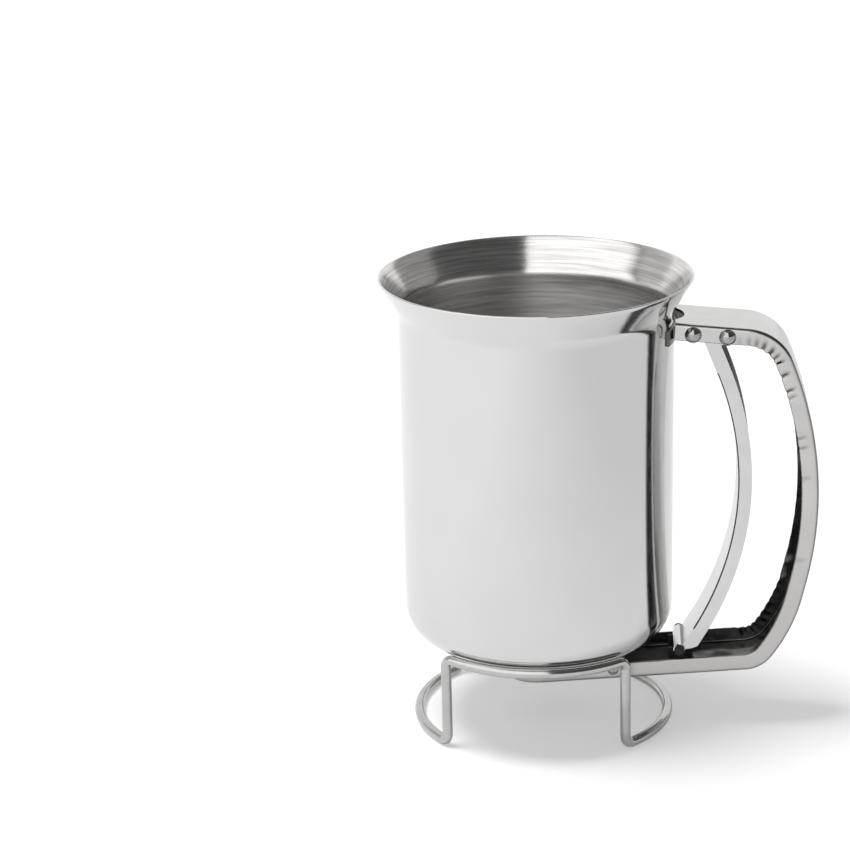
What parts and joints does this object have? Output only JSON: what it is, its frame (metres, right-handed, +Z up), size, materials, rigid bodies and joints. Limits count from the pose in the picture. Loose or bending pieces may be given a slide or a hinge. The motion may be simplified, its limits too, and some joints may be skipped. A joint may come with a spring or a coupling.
{
  "type": "batter dispenser",
  "caption": "Flared metal cup with a sliding outlet valve under it, a fixed channel handle with a squeeze lever, and a bent wire stand.",
  "frame": {"origin": "the point on the floor under the cup's axis, at the level of the stand's floor arcs", "axes": "+Z up along the cup's axis, +X from the cup towards the handle, +Y to the back"},
  "size_m": [0.1596, 0.1141, 0.1724],
  "materials": {
    "wire_steel": "satin drawn wire",
    "cup_steel": "satin outside, brushed round inside",
    "bracket_steel": "plain sheet",
    "handle_steel": "satin sheet, darker inside the channel",
    "rivet_steel": "polished",
    "lever_steel": "satin sheet",
    "black_plastic": "moulded",
    "seal_rubber": "matte silicone",
    "spring_steel": "bright wire"
  },
  "bodies": {
    "stand": {"stand_wire": "wire_steel"},
    "dispenser": {"cup_body": "cup_steel", "outlet_tube": "cup_steel", "top_bracket": "bracket_steel", "saddle_bracket": "bracket_steel", "outer_handle": "handle_steel", "top_rivet": "rivet_steel", "pivot_rivet": "rivet_steel", "arm_rivet": "rivet_steel", "return_spring": "spring_steel"},
    "lever": {"squeeze_lever": "lever_steel", "drive_pin": "rivet_steel", "pin_cap_front": "black_plastic", "pin_cap_back": "black_plastic"},
    "slider": {"slide_bar": "black_plastic", "seal_dish": "bracket_steel", "seal_disc": "seal_rubber"}
  },
  "joints": [
    {"name": "lift_off", "type": "slide", "parent": "stand", "child": "dispenser", "axis": [0, 0, 1], "range_m": [0, 0.05]},
    {"name": "squeeze", "type": "hinge", "parent": "dispenser", "child": "lever", "pos_m": [0.0687, 0, 0.15235], "axis": [0, -1, 0], "range_deg": [0, 8], "stiffness_Nm_per_rad": 1, "springref_deg": -20.05, "deforming": ["return_spring"]},
    {"name": "valve_slide", "type": "slide", "parent": "dispenser", "child": "slider", "axis": [0.9965, 0, 0.0835], "range_m": [0, 0.0175]}
  ],
  "couplings": [
    {"joint": "valve_slide", "follows": "squeeze", "m_per_rad": 0.12252}
  ]
}
